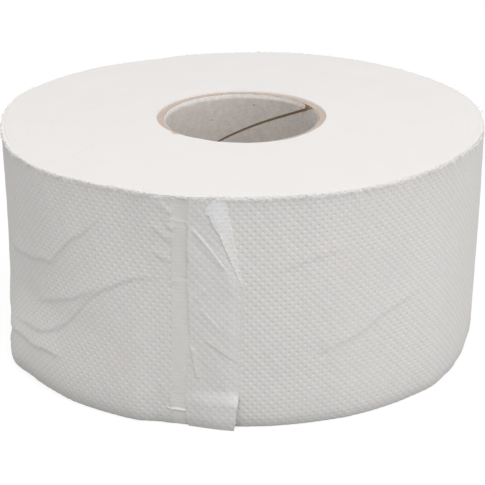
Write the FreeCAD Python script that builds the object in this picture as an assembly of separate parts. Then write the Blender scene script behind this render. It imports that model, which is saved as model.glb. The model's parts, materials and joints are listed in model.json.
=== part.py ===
import FreeCAD, Part

import math
import os
from dataclasses import dataclass

from FreeCAD import Vector

# A jumbo toilet paper roll that stands on one end face, with its axis along +Z.
# The origin is on the axis of the core, in the plane of the lower end face.
# The front, where the tail of the web lies, faces -Y.
#
# It is three pieces: one long web of two-ply tissue, wound up as a spiral, and a core tube that is
# wound from two strips of board, a thick tan one outside and a thin grey one inside. The edges of the
# grey strip don't meet, so a helical seam runs down the bore and shows the tan board behind it.
#
# Lengths are in millimetres and angles in degrees. A place on the roll's side is given as an arc,
# measured round the drum from the front line and positive to the right, and a height above the base.

# Roll and core
ROLL_DIAMETER = 190.0
ROLL_WIDTH = 88.0
CORE_BORE_DIAMETER = 60.0
INNER_PLY_THICKNESS = 0.9
OUTER_PLY_THICKNESS = 2.6
SEAM_GAP = 1.2
SEAM_LEAD = 82.0
SEAM_ANGLE_AT_TOP = 18.0

# The web's turns
LOOSE_TURN_PITCH = 0.5
TURN_LINES = 3
TURN_LINE_WIDTH = 0.6
TURN_LINE_DEPTH = 0.3
TURN_LINE_MARGIN = 4.0

# The tail: a glue band where the upper ply is missing, then a tab whose edge is on the front line.
# Low on the drum the tab is wider, and it covers more of the band.
TAB_WIDTH = 18.5
TAB_WIDTH_AT_FOOT = 20.4
TAB_WIDENS_FROM = 34.0
TAB_WIDENS_TO = 20.0
GLUE_BAND_WIDTH = 6.0
GLUE_BAND_DEPTH = 0.3
SHEET_THICKNESS = 0.4
SHEET_OVERLAP = 0.3

# The tab's upper corner is folded over, along a crease from its top edge to its free edge
FOLD_ALONG_TOP = 6.0
FOLD_DOWN_EDGE = 33.0
FOLD_LIFT = 0.9

# The tab's foot stands off the drum, and its free edge leans back to the left
FOOT_HEIGHT = 16.0
FOOT_LIFT_LEFT = 0.9
FOOT_LIFT_RIGHT = 3.2
FOOT_LEAN = 2.6

# The slack of the outer turn, low on the left of the drum
SLACK_DEPTH = 3.4
SLACK_ARC = -94.0
SLACK_HALF_ARC = 78.0
SLACK_CREST_HEIGHT = 7.0
SLACK_TOP_HEIGHT = 30.0
SLACK_SHARE_AT_BASE = 0.7

# How finely the slack and the tab's foot are laid out
SLACK_COLUMNS = 12
SLACK_ROWS = 6
FOOT_STEPS = 4
TRIM_MARGIN = 2.0
SAME_PLACE = 1e-6

# Values that follow from the ones above
ROLL_RADIUS = ROLL_DIAMETER / 2
BORE_RADIUS = CORE_BORE_DIAMETER / 2
INNER_PLY_RADIUS = BORE_RADIUS + INNER_PLY_THICKNESS
CORE_RADIUS = INNER_PLY_RADIUS + OUTER_PLY_THICKNESS
TAB_LEFT = -TAB_WIDTH
TAB_LEFT_AT_FOOT = -TAB_WIDTH_AT_FOOT
BAND_LEFT = TAB_LEFT - GLUE_BAND_WIDTH
SINK_DEPTH = 4 * SHEET_OVERLAP
AXIS = Vector(0, 0, 1)


@dataclass(frozen=True)
class Crease:
    """A fold line in the slack outer turn: a swell that rises slowly and drops off at the line.

    The route is a row of places, each an arc and a height above the base. For one who walks along it,
    the swell rises on the right of the route and drops off on the left.
    """

    height: float
    rise: float
    drop: float
    route: tuple


CREASES = (
    Crease(0.9, 11, 1.5, ((-53, 75), (-61, 65), (-69, 59), (-77, 53.5), (-88, 50.5), (-112, 49.5))),
    Crease(1.1, 11, 1.5, ((-27, 56.5), (-38, 56), (-47, 51), (-62, 37), (-70, 30), (-80, 24), (-104, 21))),
    Crease(0.5, 7, 1.5, ((-57, 51), (-62, 46.5), (-70, 40), (-80, 37), (-93, 33))),
    Crease(1.0, 8, 1.5, ((-72, 15), (-80, 15), (-89, 14), (-102, 11.5), (-122, 9))),
    Crease(0.6, 8, 2.5, ((76, 45), (54, 38.5), (43, 33), (34, 30), (27, 27))),
)


def smooth(share):
    """Eases a share from 0 to 1, flat at both ends."""
    share = min(max(share, 0.0), 1.0)
    return share * share * (3 - 2 * share)


def slack(arc, height):
    """How far the loose outer turn stands off the drum at a place."""
    across = 1 - abs(arc - SLACK_ARC) / SLACK_HALF_ARC
    if height < SLACK_CREST_HEIGHT:
        rise = smooth(height / SLACK_CREST_HEIGHT)
        up = SLACK_SHARE_AT_BASE + (1 - SLACK_SHARE_AT_BASE) * rise
    else:
        up = smooth((SLACK_TOP_HEIGHT - height) / (SLACK_TOP_HEIGHT - SLACK_CREST_HEIGHT))
    return SLACK_DEPTH * smooth(across) * up


def turn_radius(arc):
    """The radius of the outer turn at an arc: it shrinks by one pitch from the tail's edge to under it."""
    turn = (-arc / (2 * math.pi * ROLL_RADIUS)) % 1.0
    return ROLL_RADIUS - LOOSE_TURN_PITCH * turn


def side_radius(arc, height):
    """The radius of the drum's side at a place, with its slack."""
    return turn_radius(arc) + max(slack(arc, height) - SHEET_OVERLAP, 0.0)


def on_drum(arc, height, radius):
    """The point at a place on the drum, at a radius."""
    angle = arc / ROLL_RADIUS
    return Vector(radius * math.sin(angle), -radius * math.cos(angle), height)


def tube(inner_radius, outer_radius):
    """A plain tube of the roll's width."""
    outside = Part.makeCylinder(outer_radius, ROLL_WIDTH)
    return outside.cut(Part.makeCylinder(inner_radius, ROLL_WIDTH))


def spiral(radius, pitch, half_turns, height):
    """A spiral of half circles from the front, that runs outward counter-clockwise as seen from above."""
    arcs = []
    for k in range(half_turns):
        side = -1 if k % 2 == 0 else 1
        start = side * (radius + pitch * k / 2)
        end = -side * (radius + pitch * (k + 1) / 2)
        middle = (start + end) / 2
        bulge = -side * abs(end - start) / 2
        arcs.append(Part.Arc(
            Vector(0, start, height), Vector(bulge, middle, height), Vector(0, end, height)
        ).toShape())
    return arcs


def ends_of(arcs):
    """The first and last points of a chain of arcs."""
    return arcs[0].valueAt(arcs[0].FirstParameter), arcs[-1].valueAt(arcs[-1].LastParameter)


def skin(grid):
    """A smooth face over a grid of poles, which it follows closely and meets at its four corners."""
    degrees, knots, counts = [], [], []
    for poles in (len(grid), len(grid[0])):
        degree = min(3, poles - 1)
        spans = poles - degree
        degrees.append(degree)
        knots.append([k / spans for k in range(spans + 1)])
        counts.append([degree + 1] + [1] * (spans - 1) + [degree + 1])
    surface = Part.BSplineSurface()
    surface.buildFromPolesMultsKnots(grid, *counts, *knots, False, False, *degrees)
    return surface.toShape()


def closed_solid(faces):
    """The solid inside faces that close on each other."""
    shell = Part.makeShell(faces)
    shell.sewShape()
    solid = Part.makeSolid(shell)
    if solid.Volume < 0:
        solid.reverse()
    return solid


def triangle(a, b, c):
    """A triangular face, or nothing where two of its corners meet."""
    for first, second in ((a, b), (b, c), (c, a)):
        if first.distanceToPoint(second) < SAME_PLACE:
            return []
    return [Part.Face(Part.makePolygon([a, b, c, a]))]


def block_between(upper, lower):
    """The closed solid between two equal grids of points, made of triangles."""
    rows, columns = len(upper), len(upper[0])
    faces = []

    def quad(a, b, c, d):
        faces.extend(triangle(a, b, c) + triangle(a, c, d))

    for i in range(rows - 1):
        for j in range(columns - 1):
            for grid in (upper, lower):
                quad(grid[i][j], grid[i][j + 1], grid[i + 1][j + 1], grid[i + 1][j])
    for i in range(rows - 1):
        for j in (0, columns - 1):
            quad(upper[i][j], upper[i + 1][j], lower[i + 1][j], lower[i][j])
    for j in range(columns - 1):
        for i in (0, rows - 1):
            quad(upper[i][j], upper[i][j + 1], lower[i][j + 1], lower[i][j])
    return closed_solid(faces)


def smooth_block_between(upper, lower):
    """The closed solid between two smooth skins over equal grids of poles."""
    outside, inside = skin(upper), skin(lower)
    walls = [Part.makeRuledSurface(a, b) for a, b in zip(outside.OuterWire.Edges, inside.OuterWire.Edges)]
    return closed_solid([outside, inside, *walls])


def core_outer_ply():
    """The tan strip of board, which carries the tissue."""
    return tube(INNER_PLY_RADIUS, CORE_RADIUS)


def seam_cutter():
    """A helical bar that clears the gap between the edges of the inner ply."""
    overrun = SEAM_GAP * 4
    climb = ROLL_WIDTH + 2 * overrun
    middle = BORE_RADIUS + INNER_PLY_THICKNESS / 2
    reach = INNER_PLY_THICKNESS
    slope = math.atan2(SEAM_LEAD, 2 * math.pi * middle)
    half_gap = SEAM_GAP / math.cos(slope) / 2
    path = Part.makeHelix(SEAM_LEAD, climb, middle, 0, True)
    section = Part.makePolygon([
        Vector(middle - reach, 0, -half_gap),
        Vector(middle + reach, 0, -half_gap),
        Vector(middle + reach, 0, half_gap),
        Vector(middle - reach, 0, half_gap),
        Vector(middle - reach, 0, -half_gap),
    ])
    bar = path.makePipeShell([section], True, True)
    turn_to_top = math.degrees(2 * math.pi * (ROLL_WIDTH + overrun) / SEAM_LEAD)
    bar.translate(Vector(0, 0, -overrun))
    bar.rotate(Vector(0, 0, 0), AXIS, SEAM_ANGLE_AT_TOP + turn_to_top)
    return bar


def core_inner_ply():
    """The grey strip of board that lines the core, with its helical seam open."""
    return tube(BORE_RADIUS, INNER_PLY_RADIUS).cut(seam_cutter())


def drum():
    """The wound web as one turn of a spiral, with a step at the tail and the bore that the core fills."""
    rim = spiral(ROLL_RADIUS - LOOSE_TURN_PITCH, LOOSE_TURN_PITCH, 2, 0)
    start, end = ends_of(rim)
    outline = Part.Wire([*rim, Part.makeLine(end, start)])
    roll = Part.Face(outline).extrude(AXIS * ROLL_WIDTH)
    return roll.cut(Part.makeCylinder(CORE_RADIUS, ROLL_WIDTH))


def slack_swell():
    """The slack of the outer turn, as a swell on the drum's side."""
    outer, inner = [], []
    for i in range(SLACK_COLUMNS + 1):
        arc = SLACK_ARC + SLACK_HALF_ARC * (2 * i / SLACK_COLUMNS - 1)
        heights = [SLACK_TOP_HEIGHT * j / SLACK_ROWS for j in range(SLACK_ROWS + 1)]
        outer.append([on_drum(arc, h, turn_radius(arc) + slack(arc, h) - SHEET_OVERLAP) for h in heights])
        inner.append([on_drum(arc, h, turn_radius(arc) - SINK_DEPTH) for h in heights])
    return smooth_block_between(outer, inner)


def turn_lines(base_height, depth):
    """A spiral bar that marks the web's turns on an end face."""
    inner = CORE_RADIUS + TURN_LINE_MARGIN
    outer = ROLL_RADIUS - LOOSE_TURN_PITCH - TURN_LINE_MARGIN
    pitch = (outer - inner) / TURN_LINES
    near = spiral(inner - TURN_LINE_WIDTH / 2, pitch, 2 * TURN_LINES, base_height)
    far = spiral(inner + TURN_LINE_WIDTH / 2, pitch, 2 * TURN_LINES, base_height)
    (near_start, near_end), (far_start, far_end) = ends_of(near), ends_of(far)
    caps = [Part.makeLine(near_end, far_end), Part.makeLine(far_start, near_start)]
    outline = Part.Wire(Part.__sortEdges__([*near, *far, *caps]))
    return Part.Face(outline).extrude(AXIS * depth)


def glue_band_cutter():
    """The block that clears the upper ply between the outer turn and the tab."""
    rows = (
        (-TRIM_MARGIN, TAB_LEFT_AT_FOOT),
        (TAB_WIDENS_TO, TAB_LEFT_AT_FOOT),
        (TAB_WIDENS_FROM, TAB_LEFT),
        (ROLL_WIDTH + TRIM_MARGIN, TAB_LEFT),
    )

    def grid(radius):
        return [[on_drum(arc, z, radius) for arc in (BAND_LEFT, right)] for z, right in rows]

    return block_between(grid(ROLL_RADIUS + SHEET_THICKNESS), grid(ROLL_RADIUS - GLUE_BAND_DEPTH))


def folded_away():
    """The block that clears the sheet beyond the crease, where the tab's corner has been folded off."""
    crease_foot = ROLL_WIDTH - FOLD_DOWN_EDGE

    def grid(radius):
        return [
            [on_drum(-FOLD_ALONG_TOP, ROLL_WIDTH, radius), on_drum(SHEET_OVERLAP, ROLL_WIDTH, radius)],
            [on_drum(0, crease_foot, radius), on_drum(SHEET_OVERLAP, crease_foot, radius)],
        ]

    return block_between(grid(ROLL_RADIUS + SHEET_THICKNESS), grid(ROLL_RADIUS - SHEET_THICKNESS))


def mirrored_corner():
    """Where the tab's upper corner lies once it is folded over the crease, as (arc, height)."""
    along = Vector(FOLD_ALONG_TOP, -FOLD_DOWN_EDGE, 0)
    along.normalize()
    start = Vector(-FOLD_ALONG_TOP, ROLL_WIDTH, 0)
    corner = Vector(0, ROLL_WIDTH, 0)
    foot = start + along * (corner - start).dot(along)
    turned = foot * 2 - corner
    return turned.x, turned.y


def folded_corner():
    """The tab's corner, turned back over the crease and lifted at its tip."""
    top = (-FOLD_ALONG_TOP, ROLL_WIDTH)
    bottom = (0.0, ROLL_WIDTH - FOLD_DOWN_EDGE)
    tip = mirrored_corner()

    def grid(at_crease, at_tip):
        crease_top, crease_bottom = (on_drum(*place, at_crease) for place in (top, bottom))
        return [[crease_top, crease_bottom], [on_drum(*tip, at_tip), crease_bottom]]

    seat = ROLL_RADIUS - SHEET_OVERLAP
    lifted = ROLL_RADIUS + FOLD_LIFT
    return block_between(grid(ROLL_RADIUS + SHEET_THICKNESS, lifted + SHEET_THICKNESS), grid(seat, lifted))


def tab_foot():
    """The foot of the tab, which leaves the drum and stands off it more towards its free edge."""
    outer, inner = [], []
    for k in range(FOOT_STEPS + 1):
        down = k / FOOT_STEPS
        height = FOOT_HEIGHT * (1 - down)
        outer_row, inner_row = [], []
        for j in range(FOOT_STEPS + 1):
            across = j / FOOT_STEPS
            arc = TAB_LEFT_AT_FOOT * (1 - across) - FOOT_LEAN * down * across
            lift = (FOOT_LIFT_LEFT + (FOOT_LIFT_RIGHT - FOOT_LIFT_LEFT) * across) * down ** 2
            outer_row.append(on_drum(arc, height, ROLL_RADIUS + lift))
            inner_row.append(on_drum(arc, height, ROLL_RADIUS + lift - SHEET_THICKNESS))
        outer.append(outer_row)
        inner.append(inner_row)
    return block_between(outer, inner)


def crease_ridge(crease):
    """A crease as a ridge on the drum's side, dying out at both ends."""
    route = crease.route
    highest = ROLL_WIDTH - TRIM_MARGIN
    outer, inner = [], []
    for k, (arc, height) in enumerate(route):
        before, after = route[max(k - 1, 0)], route[min(k + 1, len(route) - 1)]
        way = Vector(after[0] - before[0], after[1] - before[1], 0).normalize()
        share = math.sin(math.pi * (2 * k + 1) / (2 * len(route)))
        profile = (
            (crease.rise * share, -SHEET_OVERLAP),
            (0, crease.height * share),
            (-crease.drop * share, -SHEET_OVERLAP),
        )
        outer_row, inner_row = [], []
        for aside, stand in profile:
            place = (arc + way.y * aside, min(height - way.x * aside, highest))
            outer_row.append(on_drum(*place, side_radius(*place) + stand))
            inner_row.append(on_drum(*place, side_radius(*place) - SINK_DEPTH))
        outer.append(outer_row)
        inner.append(inner_row)
    return block_between(outer, inner)


def tissue_roll():
    """The whole web as one solid: wound body, outer turn, glue band and tail tab."""
    roll = drum().fuse(slack_swell())
    roll = roll.cut(turn_lines(0.0, TURN_LINE_DEPTH))
    roll = roll.cut(turn_lines(ROLL_WIDTH, -TURN_LINE_DEPTH))
    roll = roll.cut(glue_band_cutter())
    roll = roll.cut(folded_away())
    roll = roll.fuse([folded_corner(), tab_foot()])
    roll = roll.fuse([crease_ridge(crease) for crease in CREASES])
    return roll


def export(name, shape):
    """Writes one piece as a STEP file named after it."""
    if not shape.isValid() or len(shape.Solids) != 1:
        raise ValueError(f"{name} has {len(shape.Solids)} solids, valid {shape.isValid()}")
    shape.Solids[0].exportStep(os.path.join("parts", name + ".step"))
    print(name, "volume", round(shape.Volume, 1), "faces", len(shape.Faces))


def main():
    """Builds each piece and writes it to the parts folder."""
    os.makedirs("parts", exist_ok=True)
    export("core_outer_ply", core_outer_ply())
    export("core_inner_ply", core_inner_ply())
    export("tissue_roll", tissue_roll())


main()
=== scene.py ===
import json
import logging
import math
from abc import ABC, abstractmethod
from dataclasses import dataclass
from enum import Enum
from typing import ClassVar, Mapping, Sequence, Union

import bpy
import numpy as np
from mathutils import Matrix, Vector


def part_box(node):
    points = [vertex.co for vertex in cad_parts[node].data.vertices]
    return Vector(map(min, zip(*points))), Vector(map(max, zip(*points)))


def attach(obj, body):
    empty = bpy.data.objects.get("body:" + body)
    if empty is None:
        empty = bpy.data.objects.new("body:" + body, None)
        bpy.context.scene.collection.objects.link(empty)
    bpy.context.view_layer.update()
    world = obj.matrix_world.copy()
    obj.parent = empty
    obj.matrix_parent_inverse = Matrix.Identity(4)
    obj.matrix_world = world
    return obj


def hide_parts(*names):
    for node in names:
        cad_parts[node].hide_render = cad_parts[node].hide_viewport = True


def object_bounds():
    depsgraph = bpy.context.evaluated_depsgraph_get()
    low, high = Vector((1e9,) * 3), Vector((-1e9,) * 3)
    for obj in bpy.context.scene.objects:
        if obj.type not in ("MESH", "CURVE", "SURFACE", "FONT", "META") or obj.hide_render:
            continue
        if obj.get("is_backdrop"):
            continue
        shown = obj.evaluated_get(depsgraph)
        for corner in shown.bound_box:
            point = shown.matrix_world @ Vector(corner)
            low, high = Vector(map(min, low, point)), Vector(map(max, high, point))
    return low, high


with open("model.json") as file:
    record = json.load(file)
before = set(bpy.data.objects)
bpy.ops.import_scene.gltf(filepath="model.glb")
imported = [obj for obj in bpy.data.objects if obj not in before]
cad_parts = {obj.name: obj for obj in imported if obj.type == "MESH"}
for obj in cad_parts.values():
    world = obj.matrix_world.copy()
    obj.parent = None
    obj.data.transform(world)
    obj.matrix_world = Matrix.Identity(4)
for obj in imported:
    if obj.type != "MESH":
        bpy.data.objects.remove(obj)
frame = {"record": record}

# The looks of a jumbo toilet paper roll that stands on end, built round its construction.
#
# Sizes are in millimetres and angles in degrees, and a mesh is turned into metres when it is made.
# A place on the side is an arc, measured round the drum from the front line and positive to the right,
# and a height above the base. A bearing is an angle round the axis from the front, positive to the right.

MM = 0.001
FULL = 2 * math.pi
TURN = 360
BODY = "root"
# How the channels of a shown colour are coded
BRIGHTEST = 255
SHOWN_LIFT = 0.055
SHOWN_POWER = 2.4
# The Mix node's sockets for colours
MIX_FACTOR, MIX_FIRST, MIX_SECOND, MIX_RESULT = 0, 6, 7, 2
PAPER_ROUGHNESS = 0.95
PAPER_GLOSS = 0.25
# How far out a soft patch or a speck keeps its full strength, as a share of its size
FULL_SHARE = 0.3

Array = np.ndarray
Place = tuple[float, float]
Colour = tuple[float, float, float]

log = logging.getLogger("toilet_roll")


class Slot(Enum):
    """The record's material slots."""

    TISSUE = "tissue"
    TAN_BOARD = "tan_board"
    GREY_BOARD = "grey_board"


class Node(Enum):
    """The pieces of the construction that the scene's pieces stand for."""

    TISSUE_ROLL = "tissue_roll"
    OUTER_PLY = "core_outer_ply"
    INNER_PLY = "core_inner_ply"


def smooth(share: Array) -> Array:
    """Eases shares from 0 to 1, flat at both ends."""
    share = np.clip(share, 0.0, 1.0)
    return share * share * (3 - 2 * share)


def profile(points: Sequence[Place], where: Array) -> Array:
    """Values between control points, eased from each to the next.

    Args:
        points: Control points as (position, value), in rising order of position.
        where: The positions to read.

    Returns:
        The value at each position.
    """
    places = np.array([place for place, _ in points])
    values = np.array([value for _, value in points])
    span = np.clip(np.searchsorted(places, where) - 1, 0, len(points) - 2)
    share = (where - places[span]) / (places[span + 1] - places[span])
    return values[span] + (values[span + 1] - values[span]) * smooth(share)


def smooth_route(points: Sequence[Place], pieces: int = 6) -> Array:
    """A rounded route through chosen places.

    Args:
        points: The places, each an arc and a height.
        pieces: How many straight pieces stand for each span.

    Returns:
        The route as an array of places.
    """
    given = np.array(points, float)
    padded = np.vstack([2 * given[0] - given[1], given, 2 * given[-1] - given[-2]])
    route = []
    for k in range(1, len(padded) - 2):
        before, start, end, after = padded[k - 1:k + 3]
        for share in np.arange(pieces) / pieces:
            bend = 2 * start + (end - before) * share
            bend += (2 * before - 5 * start + 4 * end - after) * share ** 2
            bend += (3 * start - before - 3 * end + after) * share ** 3
            route.append(bend / 2)
    route.append(given[-1])
    return np.array(route)


def around(bearing: Array, radius: Array, height: Array) -> Array:
    """Points round the axis, at bearings in radians."""
    return np.stack(np.broadcast_arrays(radius * np.sin(bearing), -radius * np.cos(bearing), height), axis=-1)


def beside(route: Array, arc: Array, height: Array) -> tuple[Array, Array]:
    """How far places lie from a route, and how far along it.

    Args:
        route: The route as an array of places.
        arc: The arcs of the places.
        height: Their heights.

    Returns:
        The distance, positive on the right of one who walks the route, and the share of the way walked.
    """
    nearest = np.full(arc.shape, np.inf)
    side = np.ones(arc.shape)
    walked = np.zeros(arc.shape)
    lengths = np.hypot(*np.diff(route, axis=0).T)
    before = np.concatenate([[0.0], np.cumsum(lengths)])
    for start, step, length, done in zip(route, np.diff(route, axis=0), lengths, before):
        off_arc, off_height = arc - start[0], height - start[1]
        share = np.clip((off_arc * step[0] + off_height * step[1]) / length ** 2, 0, 1)
        gap_arc, gap_height = off_arc - share * step[0], off_height - share * step[1]
        gap = np.hypot(gap_arc, gap_height)
        closer = gap < nearest
        nearest = np.where(closer, gap, nearest)
        right = step[1] * gap_arc - step[0] * gap_height
        side = np.where(closer, np.where(right < 0, -1.0, 1.0), side)
        walked = np.where(closer, done + share * length, walked)
    return nearest * side, walked / before[-1]


@dataclass(frozen=True)
class Crease:
    """A fold line in slack paper: a swell that rises slowly and drops off at the line.

    The swell is on the right of one who walks the route, and the drop is on the left.
    """

    height: float
    # How wide the swell and the drop are
    rise: float
    drop: float
    route: tuple[Place, ...]
    fade_in: float = 0.2
    fade_out: float = 0.2
    bulge: float = 1.4

    def stand(self, arc: Array, height: Array) -> Array:
        """How far the crease lifts the paper.

        Args:
            arc: Arcs of the places, in millimetres from the front.
            height: Their heights above the base.

        Returns:
            The lift at each place, in millimetres.
        """
        aside, walked = beside(smooth_route(self.route), arc, height)
        swell = np.exp(-(np.maximum(aside, 0) / self.rise) ** self.bulge)
        fall = 1 - smooth(-aside / self.drop)
        shape = np.where(aside >= 0, swell, fall)
        ends = smooth(walked / self.fade_in) * smooth((1 - walked) / self.fade_out)
        return self.height * shape * ends


@dataclass(frozen=True)
class Cockle:
    """The soft unevenness of slack paper: seeded waves that close round the drum."""

    seed: int
    waves: int
    depth: float
    turns: tuple[int, int]
    climb: tuple[float, float]

    def stand(self, bearing: Array, height: Array) -> Array:
        """How far the waves lift the paper.

        Args:
            bearing: Bearings in radians.
            height: Heights above the base.

        Returns:
            The lift at each place.
        """
        draw = np.random.default_rng(self.seed)
        total = np.zeros(np.broadcast(bearing, height).shape)
        for _ in range(self.waves):
            turns = draw.integers(*self.turns)
            climb = draw.uniform(*self.climb) * draw.choice((-1, 1))
            total += np.sin(turns * bearing + climb * height + draw.uniform(0, FULL))
        return self.depth * total / math.sqrt(self.waves)


@dataclass(frozen=True)
class Emboss:
    """The embossed pattern: a staggered lattice of small dimples."""

    columns: int = 199
    rise: float = 3.06
    arc_shift: float = 0.0
    height_shift: float = 0.0
    depth: float = 0.10
    pillow: float = 0.045

    def stand(self, bearing: Array, height: Array) -> Array:
        """How far the pattern lifts the paper.

        Args:
            bearing: Bearings in radians.
            height: Heights above the base.

        Returns:
            The lift at each place, in millimetres.
        """
        wave = np.cos(self.columns * bearing + self.arc_shift)
        wave = wave * np.cos(FULL * height / self.rise + self.height_shift)
        return -self.depth * np.maximum(wave, 0) + self.pillow * np.maximum(-wave, 0)


SLACK_CREASES = (
    Crease(0.45, 6, 0.8, ((-48, 80.5), (-53.5, 75.5), (-61, 68.5), (-66.6, 64.4), (-72.4, 58.5),
                          (-76.2, 54.2), (-77.4, 53.1), (-79, 52.8), (-83.3, 52.5), (-89.1, 51), (-98, 49.9),
                          (-107.3, 49.4), (-118, 49)), 0.3, 0.2),
    Crease(0.42, 6, 0.8, ((-25.8, 56.8), (-32, 56.6), (-38.7, 55.7), (-46.5, 52), (-56.3, 46), (-62.3, 39.4),
                         (-67.1, 33.7), (-73.1, 28.6), (-81.5, 24.4), (-87.8, 22.7), (-94.9, 22.4),
                         (-108, 21)), 0.2, 0.15),
    Crease(0.4, 5, 0.8, ((-52, 51), (-58, 46.8), (-66.3, 42.1), (-74.5, 39), (-90.7, 33.1)), 0.3, 0.3),
    Crease(0.6, 5, 0.8, ((-70, 17.2), (-74.5, 16.9), (-81.7, 17), (-89.1, 15.7), (-99, 16.4), (-109, 15.5),
                         (-122, 13)), 0.15, 0.2),
    Crease(0.24, 7, 0.9, ((76, 45), (72.5, 43.8), (54.2, 38.7), (42.7, 33), (33.6, 30.5), (28.7, 27.3)),
           0.3, 0.08),
    Crease(0.18, 6, 0.9, ((42, 66.4), (33.7, 66), (23.4, 63.9), (14.2, 60.6), (8.2, 59.8)), 0.3, 0.3),
    Crease(0.25, 2, 0.8, ((118, 31), (114.8, 31.5), (111, 32.4)), 0.3, 0.3),
    Crease(-0.35, 0.9, 1.2, ((27.6, 26.6), (30.4, 27.6)), 0.3, 0.3),
)
FAN_CREASES = (
    Crease(0.42, 1.6, 0.75, ((-24.6, 80.5), (-27.2, 82.8), (-30.2, 85.6)), 0.2, 0.3),
    Crease(0.42, 1.6, 0.75, ((-24.2, 74.6), (-26.2, 77.6), (-28.8, 81.6)), 0.2, 0.3),
    Crease(0.4, 1.7, 0.75, ((-24.4, 70.6), (-28, 73), (-32.6, 77)), 0.2, 0.3),
    Crease(0.32, 1.7, 0.75, ((-25.4, 63), (-29, 65), (-33, 67.8)), 0.2, 0.3),
)


@dataclass(frozen=True)
class Drum:
    """The measures of the wound roll and the shape of its side."""

    width: float
    core_radius: float
    radius: float = 95.0
    turn_pitch: float = 0.5
    slack_depth: float = 2.6
    slack_arc: float = -94.0
    slack_half_arc: float = 78.0
    slack_crest_height: float = 7.0
    slack_top_height: float = 42.0
    slack_share_at_base: float = 0.7
    seated: float = 0.3
    flare_height: float = 80.0
    flare_bend: float = 1.4
    waist_height: float = 24.0
    pinch_bearing: float = -79.0
    pinch_half_turn: float = 12.0
    pinch_height: float = 11.0
    pinch_half_height: float = 8.0
    pinch_depth: float = 2.2
    foot_round: float = 1.2
    foot_round_height: float = 5.0
    cockles: tuple[Cockle, ...] = (
        Cockle(5, 9, 0.16, (3, 13), (0.02, 0.09)), Cockle(11, 16, 0.035, (30, 110), (0.2, 0.9)),
    )
    # How far the web stands out of round at bearings, for a full turn: at the upper rim and at its waist
    rim: tuple[Place, ...] = (
        (-180, -0.5), (-166, -0.9), (-155, -2.4), (-145, -1.1), (-138, 0.2), (-121, 0.9), (-107, 1.7),
        (-95, 0.3), (-84, -0.7), (-72, -0.5), (-60, 0.5), (-48, 1.0), (-42, 0.2), (-36, -0.7), (-27, -1.7),
        (-18, -0.6), (-12, -0.6), (3, -1.7), (10, -1.6), (18, -0.5), (30, -0.3), (42, -0.6), (60, -0.3),
        (70, 0.3), (78, 0.8), (100, 0.8), (130, 0.4), (150, 1.4), (167, 1.4), (180, -0.5),
    )
    waist: tuple[Place, ...] = (
        (-180, 0.0), (-104, 0.0), (-84, -0.8), (-66, -0.5), (-48, 0.0), (58, 0.0), (78, 0.3), (100, 0.2),
        (130, 0.0), (180, 0.0),
    )
    # How far the foot flares at bearings, beside the slack
    flare: tuple[Place, ...] = (
        (-180, 0.9), (-100, 0.2), (-88, -1.0), (-80, -0.9), (-72, 2.1), (-64, 3.9), (-56, 2.0), (-48, 2.0),
        (-40, 2.8), (-32, 3.0), (-24, 3.3), (-18, 1.3), (-14, 0.8), (-8, 0.7), (0, 0.9), (8, 1.2), (16, 1.4),
        (24, 1.9), (32, 1.9), (40, 2.3), (48, 3.1), (56, 1.8), (64, 0.3), (72, -0.6), (80, -0.2), (92, 0.6),
        (180, 0.9),
    )

    @property
    def girth(self) -> float:
        """The length of one turn."""
        return FULL * self.radius

    def bearing(self, arc: Array) -> Array:
        """The bearing of arcs, in radians, from half a turn left to half a turn right."""
        return (arc / self.radius + math.pi) % FULL - math.pi

    def out_of_round(self, bearing: Array, height: Array) -> Array:
        """How far the wound web stands out of round, at the waist and most at the upper rim.

        Args:
            bearing: Bearings in radians.
            height: Heights above the base.

        Returns:
            The distance at each place, below 0 where it lies in.
        """
        turned = np.degrees(bearing)
        waist = profile(self.waist, turned)
        above = smooth((height - self.waist_height) / (self.width - self.waist_height))
        return waist * smooth(height / self.waist_height) + (profile(self.rim, turned) - waist) * above

    def slack(self, arc: Array, height: Array) -> Array:
        """How far the loose outer turn stands off the drum.

        Args:
            arc: Arcs of the places, in millimetres from the front.
            height: Their heights above the base.

        Returns:
            The distance at each place, never below 0.
        """
        across = smooth(1 - np.abs(arc - self.slack_arc) / self.slack_half_arc)
        share = self.slack_share_at_base
        low = share + (1 - share) * smooth(height / self.slack_crest_height)
        high = smooth((self.slack_top_height - height) / (self.slack_top_height - self.slack_crest_height))
        up = np.where(height < self.slack_crest_height, low, high)
        return np.maximum(self.slack_depth * across * up - self.seated, 0)

    def foot(self, bearing: Array, height: Array) -> Array:
        """How far the loose turn's foot flares, is pinched in at the left and curls under at the base.

        Args:
            bearing: Bearings in radians.
            height: Heights above the base.

        Returns:
            The distance at each place, below 0 where it lies in.
        """
        turned = np.degrees(bearing)
        low = np.clip(1 - height / self.flare_height, 0, 1) ** self.flare_bend
        pinch = np.exp(-((turned - self.pinch_bearing) / self.pinch_half_turn) ** 2)
        pinch = pinch * np.exp(-((height - self.pinch_height) / self.pinch_half_height) ** 2)
        curl = np.clip(1 - height / self.foot_round_height, 0, 1) ** 2
        return profile(self.flare, turned) * low - self.pinch_depth * pinch - self.foot_round * curl

    def side(self, arc: Array, height: Array) -> Array:
        """The radius of the outer turn's face, without its emboss.

        Args:
            arc: Arcs, unrolled: they fall from 0 at the tail's edge to minus one turn, under it.
            height: Heights above the base.

        Returns:
            The radius at each place.
        """
        bearing = self.bearing(arc)
        near = bearing * self.radius
        stand = self.radius + self.turn_pitch * arc / self.girth
        stand = stand + self.out_of_round(bearing, height) + self.slack(near, height)
        stand = stand + self.foot(bearing, height)
        for cockle in self.cockles:
            stand = stand + cockle.stand(bearing, height)
        for crease in SLACK_CREASES + FAN_CREASES:
            stand = stand + crease.stand(near, height)
        return stand

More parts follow.
